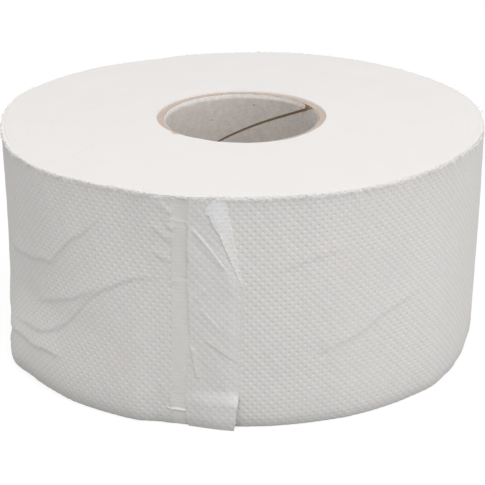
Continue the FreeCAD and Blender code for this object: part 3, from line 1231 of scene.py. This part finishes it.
@dataclass(frozen=True)
class TailTab(Piece):
    """The end of the web: a tab over the band, with a free edge and a foot that stands off the drum."""

    drum: Drum
    emboss: Emboss = Emboss(arc_shift=1.9, height_shift=0.8, depth=0.04, pillow=0.02)
    columns: int = 78
    grid: float = 0.25
    thickness: float = 0.3
    over_rim: float = 0.1
    foot_height: float = 15.5
    foot_bend: float = 6.0
    foot_bend_share: float = 0.55
    # How far the foot stands off at its left and at its right
    foot_lift: Place = (0.5, 2.6)
    clear: float = 0.1
    margin: float = 5.0
    edge_lift: float = 0.06
    edge_reach: float = 0.7
    # The torn edge's waves, as (depth, radians a millimetre, start)
    tears: tuple[tuple[float, float, float], ...] = ((0.1, 0.9, 0.0), (0.06, 2.7, 1.0))
    cockles: tuple[Cockle, ...] = (
        Cockle(53, 12, 0.07, (10, 60), (0.05, 0.35)), Cockle(59, 14, 0.03, (60, 190), (0.4, 1.2)),
    )
    # The two long edges, as (height, arc)
    left_edge: tuple[Place, ...] = (
        (0, -19.9), (2, -20.2), (12, -20.5), (20.4, -20.4), (27, -19.3), (34.4, -18.7), (50, -19.0),
        (58, -19.3), (65, -19.0), (72, -19.1), (76, -18.6), (79.1, -19.3), (82, -18.9), (88, -18.4),
    )
    right_edge: tuple[Place, ...] = (
        (0, -3.2), (4, -2.5), (15.4, -1.4), (25.3, -0.8), (39, -0.2), (54.7, 0.3),
    )
    crease_top_arc: float = -6.0
    crease_foot_height: float = 54.7
    creases: tuple[Crease, ...] = (
        Crease(0.42, 1.25, 0.5, ((-17.6, 77.2), (-14.4, 73.2), (-11.6, 69.7), (-8.3, 65.2), (-5.2, 60.9)),
               0.12, 0.2),
        Crease(0.17, 1.6, 0.45, ((-15.6, 48.3), (-12.2, 44.3), (-9.6, 41.4), (-7.2, 37.2)), 0.2, 0.3),
        Crease(0.27, 2.4, 0.45, ((-1.0, 25.6), (-4.8, 28.3), (-8.6, 31.3), (-12.1, 33.9), (-13.4, 34.7)),
               0.1, 0.15),
        Crease(0.32, 1.5, 0.5, ((-14.2, 20.6), (-14.9, 20.2), (-16.4, 20.7), (-17.3, 24.9), (-18.3, 32.7)),
               0.15, 0.15),
        Crease(0.14, 1.2, 0.6, ((-11.5, 55), (-16, 51), (-18.4, 46)), 0.3, 0.3),
    )

    name = "tail_tab"

    def free_edge(self, height: Array) -> Array:
        """The right edge: the fold crease above, and the cut edge below it.

        Args:
            height: Heights above the base.

        Returns:
            The arc at each height.
        """
        share = (height - self.crease_foot_height) / (self.drum.width - self.crease_foot_height)
        at_foot = self.right_edge[-1][1]
        crease = at_foot + (self.crease_top_arc - at_foot) * share
        return np.where(share > 0, crease, profile(self.right_edge, height))

    def torn_edge(self, height: Array) -> Array:
        """The arc of the left edge, which is torn a little unevenly."""
        uneven = sum(depth * np.sin(often * height + start) for depth, often, start in self.tears)
        return profile(self.left_edge, height) + uneven

    def stand(self, arc: Array, height: Array) -> Array:
        """How far out the tab's face lies.

        Args:
            arc: Arcs of the places, in millimetres from the front.
            height: Their heights above the base.

        Returns:
            The radius at each place.
        """
        drum = self.drum
        left, right = self.torn_edge(height), self.free_edge(height)
        bearing = arc / drum.radius
        down = np.clip(1 - height / self.foot_height, 0, 1) ** 2
        bend = smooth((self.foot_height - height) / self.foot_bend)
        share = down + (bend - down) * self.foot_bend_share
        across = (arc - left) / (right - left)
        lift = (self.foot_lift[0] + (self.foot_lift[1] - self.foot_lift[0]) * across) * share
        lift = lift + drum.foot(bearing, height)
        stand = drum.radius + drum.out_of_round(bearing, height) + self.clear + lift
        stand = stand + self.emboss.stand(bearing, height)
        for cockle in self.cockles:
            stand = stand + cockle.stand(bearing, height)
        stand = stand + self.edge_lift * np.exp(-((arc - left) / self.edge_reach) ** 2)
        for crease in self.creases:
            stand = stand + crease.stand(arc, height)
        under = drum.side(arc - drum.girth, height) + self.clear
        margin = smooth(1 - (right - arc) / self.margin) * (1 - bend)
        return stand + (under - stand) * margin

    def build(self) -> bpy.types.Object:
        """Builds the piece as a thin sheet.

        Returns:
            Its mesh object.
        """
        drum = self.drum
        height = np.linspace(0, drum.width + self.over_rim, round(drum.width / self.grid) + 1)[:, None]
        left = self.torn_edge(height)
        arc = left + (self.free_edge(height) - left) * np.linspace(0, 1, self.columns)[None, :]
        height = np.broadcast_to(height, arc.shape)
        stand = self.stand(arc, height)
        back = drum.points(arc, height, stand - self.thickness)
        return sheet_solid(self.name, drum.points(arc, height, stand), back, self.crisp)

    def finish(self) -> bpy.types.Material:
        """Dresses the piece in tissue.

        Returns:
            The material.
        """
        colours = (234, 233, 232), (235, 233, 230)
        return TissueFinish("tab_tissue", self.drum.width, *colours, self.emboss, dimple=0.065, glint=0.028,
                            mottle=Grain(14, 3, light=0.04)).make()


@dataclass(frozen=True)
class FoldedCorner(Piece):
    """The tab's upper corner, turned back over its crease in a small roll, with a ragged free edge."""

    tab: TailTab
    rows: int = 116
    columns: int = 26
    roll_columns: int = 7
    thickness: float = 0.12
    roll_radius: float = 0.06
    droop: float = -0.08
    droop_bend: float = 1.5
    # The free side's waves, as (height, radians a millimetre, start)
    waves: tuple[tuple[float, float, float], ...] = ((0.05, 0.9, 0.6), (0.03, 2.3, 0.0))
    over_rim: float = 0.5
    # How far from its top and its foot the crease's first and last rows lie
    short: Place = (0.1, 0.4)
    seed: int = 67
    torn: float = 0.1
    least_reach: float = 0.45
    # Where the corner is narrower than this, its roll is smaller, down to the least share
    slim_reach: float = 3.0
    slim_least: float = 0.35
    # How far the ragged edge lies from the crease, at distances down the crease
    reach: tuple[Place, ...] = (
        (0.0, 2.2), (0.8, 4.4), (3.2, 7.4), (5.2, 7.9), (5.9, 6.5), (9.7, 6.0), (13.6, 4.4), (16.4, 3.9),
        (23.8, 2.5), (29.3, 1.3), (33.6, 0.5),
    )

    name = "folded_corner"
    crisp = 60.0

    def build(self) -> bpy.types.Object:
        """Builds the piece: its outer and its inner face, each half round the roll and then flat.

        Returns:
            Its mesh object.
        """
        tab, drum = self.tab, self.tab.drum
        top = np.array([tab.crease_top_arc, drum.width + self.over_rim])
        foot = np.array([tab.right_edge[-1][1], tab.crease_foot_height])
        length = float(np.hypot(*(foot - top)))
        way = (foot - top) / length
        inward = np.array([way[1], -way[0]])
        walked = np.linspace(self.short[0], length - self.short[1], self.rows)[:, None]
        tears = np.random.default_rng(self.seed).normal(0, self.torn, walked.shape)
        reach = np.maximum(np.interp(walked, *zip(*self.reach)) + tears, self.least_reach)
        turn = np.linspace(-0.5, 0.5, self.roll_columns)[None, :] * math.pi
        flat = np.linspace(0, 1, self.columns)[None, 1:]
        slim = np.clip(reach / self.slim_reach, self.slim_least, 1.0)
        wave = sum(depth * np.sin(walked * often + start) for depth, often, start in self.waves)
        droop = self.droop * flat ** self.droop_bend + wave * flat ** 2
        middle = self.roll_radius + self.thickness
        sides = []
        for radius in (middle, self.roll_radius):
            aside = np.concatenate([-radius * np.cos(turn) * slim, reach * flat], axis=1)
            rolled = (middle + radius * np.sin(turn)) * slim
            rise = np.concatenate([rolled, (middle + radius + droop) * slim], axis=1)
            arc = top[0] + walked * way[0] + aside * inward[0]
            height = top[1] + walked * way[1] + aside * inward[1]
            sides.append(drum.points(arc, height, tab.stand(arc, height) + rise))
        return sheet_solid(self.name, *sides, self.crisp)

    def finish(self) -> bpy.types.Material:
        """Dresses the piece in a lighter tissue, with the dimples raised.

        Returns:
            The material.
        """
        colours = (246, 245, 245), (246, 244, 243)
        return TissueFinish("corner_tissue", self.tab.drum.width, *colours, self.tab.emboss, dimple=-0.1,
                            glint=0.04, glint_drop=-0.3, mottle=Grain(14, 3, light=0.03)).make()


@dataclass(frozen=True)
class RimFringe(Piece):
    """Loose fibres along the upper rim, thickest where the edge is frayed."""

    drum: Drum
    tries: int = 4200
    seed: int = 97
    sides: int = 3
    joints: int = 5
    thickness: float = 0.075
    # How thick a fibre's ends stay, as a share, and how far its thickest place lies towards the root
    blunt: float = 0.25
    stout: float = 0.2
    inside: float = 0.1
    length: Place = (0.7, 3.0)
    outward: Place = (-0.1, 0.45)
    upward: Place = (-0.5, 0.35)
    root_depth: Place = (0.0, 0.7)
    bow: float = 0.3
    bow_up: Place = (-0.5, 1)
    bow_out: Place = (-0.3, 1)
    # How thickly the fibres stand at bearings, for a full turn
    thick: tuple[Place, ...] = (
        (-180, 0.03), (-110, 0.03), (-92, 0.2), (-80, 0.8), (-60, 1.0), (-48, 0.5), (44, 0.4), (58, 0.6),
        (72, 0.5), (84, 0.1), (100, 0.03), (180, 0.03),
    )

    name = "rim_fringe"
    crisp = 80.0

    def build(self) -> bpy.types.Object:
        """Builds the piece from thin closed spindles, each bowed along the rim.

        Returns:
            Its mesh object.
        """
        drum = self.drum
        draw = np.random.default_rng(self.seed)
        turned = draw.uniform(-TURN / 2, TURN / 2, self.tries)
        turned = turned[draw.uniform(0, 1, self.tries) < profile(self.thick, turned)]
        root = np.radians(turned)[:, None] * drum.radius
        count = len(turned)

        def pick(span: Place) -> Array:
            """One draw for each fibre."""
            return draw.uniform(*span, count)[:, None]

        length = pick(self.length)
        share = np.linspace(0, 1, self.joints)[None, :]
        way = draw.choice((-1.0, 1.0), count)[:, None]
        arc = root + length * share * way
        bow = self.bow * length * np.sin(math.pi * share)
        out = drum.side(root, np.full(root.shape, drum.width)) - self.inside
        out = out + length * pick(self.outward) * share
        height = drum.width - pick(self.root_depth) + length * pick(self.upward) * share
        height = height + bow * pick(self.bow_up)
        slim = self.thickness * (self.blunt + np.sin(math.pi * np.clip(share + self.stout, 0, 1)))[..., None]
        # A fibre's ring turns against its way, so that all its faces look outward
        turn = -way[..., None] * np.arange(self.sides) * FULL / self.sides
        radius = (out + bow * pick(self.bow_out))[..., None] + slim * np.cos(turn)
        points = drum.points(arc[..., None], height[..., None] + slim * np.sin(turn), radius)
        here = np.arange(radius.size).reshape(radius.shape)
        across = np.roll(here, -1, axis=2)
        faces = quads(here[:, :-1], across[:, :-1], across[:, 1:], here[:, 1:])
        faces += [tuple(end) for end in (*here[:, 0, ::-1].tolist(), *here[:, -1].tolist())]
        return lay_out(self.name, points, faces, self.crisp)

    def finish(self) -> bpy.types.Material:
        """Dresses the piece in plain light tissue.

        Returns:
            The material.
        """
        colours = (242, 241, 240), (243, 240, 238)
        return TissueFinish("rim_fibres", self.drum.width, *colours, dimple=0.0, glint=0.0,
                            mottle=Grain(14, 3, light=0.02)).make()


@dataclass(frozen=True)
class Core:
    """The measures of the core: a thick strip of board, lined by a thin one."""

    width: float
    radius: float
    ply_radius: float
    bore_radius: float
    sunk: float = 1.0
    tilt: float = 0.5
    foot_gap: float = 0.3

    def top(self, bearing: Array) -> Array:
        """The height of the core's rim at bearings in radians: it has sunk more at the front."""
        return self.width - self.sunk - self.tilt * np.cos(bearing)


@dataclass(frozen=True)
class TanPly(Piece):
    """The core's thick tan strip, with worn corners and layers in its rim."""

    core: Core
    columns: int = 300
    wear: Cockle = Cockle(71, 20, 0.05, (5, 90), (0.0, 0.1))
    # The rim's section from outside in, as (share of the thickness, height from the top)
    rim: tuple[Place, ...] = (
        (1.0, -1.2), (1.0, -0.3), (0.96, -0.08), (0.86, 0.0), (0.7, -0.03), (0.66, -0.12), (0.61, -0.02),
        (0.45, 0.0), (0.38, -0.03), (0.34, -0.13), (0.3, -0.03), (0.14, 0.0), (0.04, -0.08), (0.0, -0.3),
        (0.0, -1.2),
    )

    name = "core_tan_ply"
    node = Node.OUTER_PLY
    slot = Slot.TAN_BOARD
    crisp = 35.0

    def build(self) -> bpy.types.Object:
        """Builds the piece as a ring with a layered rim.

        Returns:
            Its mesh object.
        """
        core = self.core
        bearing = np.radians(np.arange(self.columns) * TURN / self.columns)
        top = core.top(bearing) + self.wear.stand(bearing, np.array(0.0))
        thick = core.radius - core.ply_radius
        rows = [(core.ply_radius + thick * across, top + up) for across, up in self.rim]
        rows += [(core.ply_radius + thick * across, core.foot_gap - up) for across, up in self.rim[::-1]]
        return ring_solid(self.name, np.stack([around(bearing, *row) for row in rows]), self.crisp)

    def finish(self) -> bpy.types.Material:
        """The piece's material."""
        return TanBoardFinish("tan_board", self.core.ply_radius).make()


@dataclass(frozen=True)
class GreyPly(Piece):
    """The core's thin grey strip: one helical strip with its seam open, torn where its point met the rim."""

    core: Core
    seam_lead: float = 82.0
    seam_bearing: float = 108.0
    seam_half_gap: float = 0.6
    foot_point: float = 2.5
    top_gap: float = 0.15
    column_step: float = 1.5
    rows: int = 26
    torn_turn: float = 11.0
    torn: Cockle = Cockle(83, 26, 0.09, (20, 260), (0.0, 0.1))
    # Where the rim is more ragged: the turn, how far it reaches and how much more
    ragged_turn: float = 30.0
    ragged_gain: float = 3.0
    uneven: Cockle = Cockle(89, 12, 0.05, (3, 24), (0.05, 0.4))
    # How the torn end curls: its turn, where it starts below the rim, and its reach on both faces
    curl_turn: float = 4.0
    curl_from: float = 7.0
    curl_height: float = 4.0
    curl_near: float = 1.3
    curl_far: float = 1.1
    clear: float = 0.02
    crushed_height: float = 1.7
    crushed_depth: float = 0.62
    crushed_torn: float = 0.6

    name = "core_grey_ply"
    node = Node.INNER_PLY
    slot = Slot.GREY_BOARD
    crisp = 45.0

    def build(self) -> bpy.types.Object:
        """Builds the piece as one helical sheet.

        Returns:
            Its mesh object.
        """
        core = self.core
        drop = self.seam_lead / TURN
        first = self.torn_turn - TURN
        last = (core.width - self.foot_point * self.seam_half_gap) / drop
        turned = np.arange(first, last, self.column_step)[None, :]
        bearing = np.radians(turned + self.seam_bearing)
        seam = core.width - drop * turned
        more = smooth(1 - np.abs(turned + self.ragged_turn) / self.ragged_turn)
        ragged = self.torn.stand(bearing, 0 * bearing) * (1 + self.ragged_gain * more)
        low = np.maximum(core.foot_gap, seam - self.seam_lead + self.seam_half_gap)
        high = np.minimum(core.top(bearing) - self.top_gap + ragged, seam - self.seam_half_gap)
        height = low + (high - low) * np.linspace(0, 1, self.rows)[:, None]
        curl = np.exp(-(turned - first) / self.curl_turn)
        curl = curl * smooth((height - core.width + self.curl_from) / self.curl_height)
        crushed = smooth(1 - (core.top(bearing) - height) / self.crushed_height)
        near = core.bore_radius + self.uneven.stand(bearing, height) - self.curl_near * curl
        near = near + crushed * (self.crushed_depth + self.crushed_torn * ragged)
        far = core.ply_radius - self.clear - self.curl_far * curl
        return sheet_solid(self.name, around(bearing, far, height), around(bearing, near, height), self.crisp)

    def finish(self) -> bpy.types.Material:
        """The piece's material."""
        return GreyBoardFinish("grey_board", self.core.width, self.core.bore_radius).make()


@dataclass(frozen=True)
class Lamp:
    """A large soft lamp that looks at the roll."""

    name: str
    bearing: float
    elevation: float
    distance: float
    size: float
    watts: float

    def hang(self, aim: Vector) -> None:
        """Puts the lamp up.

        Args:
            aim: The point that it looks at, in millimetres.
        """
        data = bpy.data.lights.new(self.name, "AREA")
        data.shape = "DISK"
        data.size = self.size * MM
        data.energy = self.watts
        lamp = bpy.data.objects.new(self.name, data)
        side, up = math.radians(self.bearing), math.radians(self.elevation)
        away = Vector((math.sin(side) * math.cos(up), -math.cos(side) * math.cos(up), math.sin(up)))
        lamp.location = (aim + away * self.distance) * MM
        lamp.rotation_mode = "QUATERNION"
        lamp.rotation_quaternion = away.to_track_quat("Z", "Y")
        bpy.context.scene.collection.objects.link(lamp)


@dataclass(frozen=True)
class Studio:
    """The plain floor, the white surround and the soft light."""

    aim_height: float = 44.0
    floor_half: float = 6000.0
    floor_drop: float = 0.15
    floor_albedo: float = 0.5
    floor_gain: float = 1.3
    glow: float = 0.86
    surround: float = 0.567
    lamps: tuple[Lamp, ...] = (
        Lamp("overhead", 6, 68, 1300, 750, 6.5),
        Lamp("right_fill", 66, 22, 900, 600, 1.2),
        Lamp("left_fill", -80, 18, 900, 600, 0.09),
    )

    def floor(self) -> None:
        """The floor: white to the eye, but for the roll's shadow, and plain grey in the light it throws."""
        bench = Bench(bpy.data.materials.new("floor_white"))
        plain, lit = (bench.node("ShaderNodeBsdfDiffuse", None, {"Color": (level,) * 3})
                      for level in (self.floor_albedo, (1 - self.glow) * self.floor_gain))
        glow = bench.node("ShaderNodeEmission", None, {"Color": (1.0,) * 3, "Strength": self.glow})
        shown = bench.node("ShaderNodeAddShader", None, {0: lit, 1: glow})
        seen = bench.seen_by("Is Camera Ray", "Is Glossy Ray", "Is Transmission Ray")
        surface = bench.node("ShaderNodeMixShader", None, {0: seen, 1: plain, 2: shown})
        corners = np.array([(-1, -1, 0), (1, -1, 0), (1, 1, 0), (-1, 1, 0)]) * self.floor_half
        floor = lay_out("plain_floor", corners - np.array([0, 0, self.floor_drop]), [(0, 1, 2, 3)], 0)
        floor.data.materials.append(bench.close("ShaderNodeOutputMaterial", surface))
        floor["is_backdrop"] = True

    def sky(self) -> None:
        """The surround: white to the eye and a plain soft light on the roll."""
        bench = Bench(bpy.data.worlds.new("white_surround"))
        level = bench.seen_by("Is Camera Ray", "Is Glossy Ray") * (1 - self.surround) + self.surround
        back = bench.node("ShaderNodeBackground", None, {"Color": (1.0,) * 3, "Strength": level})
        bpy.context.scene.world = bench.close("ShaderNodeOutputWorld", back)

    def set_up(self) -> None:
        """Lays the floor and puts up the light."""
        self.floor()
        self.sky()
        for lamp in self.lamps:
            lamp.hang(Vector((0, 0, self.aim_height)))
        bpy.context.scene.view_settings.view_transform = "Standard"


@dataclass(frozen=True)
class Viewpoint:
    """Where the photograph was taken from."""

    eye: tuple[float, float, float] = (0.1766, -569.6427, 266.5496)
    look_down: float = 22.2733
    roll: float = -0.3232
    picture_width: float = 485.0
    focal_pixels: float = 1500.0
    sensor: float = 36.0
    clip: Place = (0.01, 50)

    def set_up(self) -> None:
        """Makes the camera."""
        data = bpy.data.cameras.new("viewpoint")
        data.sensor_width = self.sensor
        data.lens = self.sensor * self.focal_pixels / self.picture_width
        data.clip_start, data.clip_end = self.clip
        down, roll = math.radians(self.look_down), math.radians(self.roll)
        back = Vector((0, -math.cos(down), math.sin(down)))
        level = Vector((1, 0, 0))
        above = back.cross(level)
        right = level * math.cos(roll) + above * math.sin(roll)
        up = above * math.cos(roll) - level * math.sin(roll)
        turned = Matrix((right, up, back)).transposed()
        camera = bpy.data.objects.new("viewpoint", data)
        camera.matrix_world = Matrix.Translation(Vector(self.eye) * MM) @ turned.to_4x4()
        bpy.context.scene.collection.objects.link(camera)
        bpy.context.scene.camera = camera


def measures() -> tuple[Drum, Core]:
    """Reads the measures from the construction.

    Returns:
        Those of the roll and of the core.
    """
    low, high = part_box(Node.TISSUE_ROLL.value)
    width = (high.z - low.z) / MM
    core_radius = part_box(Node.OUTER_PLY.value)[1].x / MM
    ply_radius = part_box(Node.INNER_PLY.value)[1].x / MM
    bore = next(mount for mount in frame["record"]["mounts"] if mount["kind"] == "bore")
    return Drum(width, core_radius), Core(width, core_radius, ply_radius, bore["dims"]["r_mm"])


def corners(box: tuple[Vector, Vector]) -> list[list[float]]:
    """A box as plain lists."""
    return [list(corner) for corner in box]


def main() -> None:
    """Builds the roll and its surroundings, piece by piece."""
    logging.basicConfig(level=logging.INFO, format="%(message)s")
    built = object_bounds()
    Viewpoint().set_up()
    Studio().set_up()
    drum, core = measures()
    tab = TailTab(drum)
    web = (WoundBody(drum), OuterTurn(drum), GlueBand(drum), tab, FoldedCorner(tab), RimFringe(drum))
    for piece in (*web, TanPly(core), GreyPly(core)):
        piece.make()
    {"cad": corners(built), "visual": corners(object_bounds())}


if __name__ == "__main__":
    main()
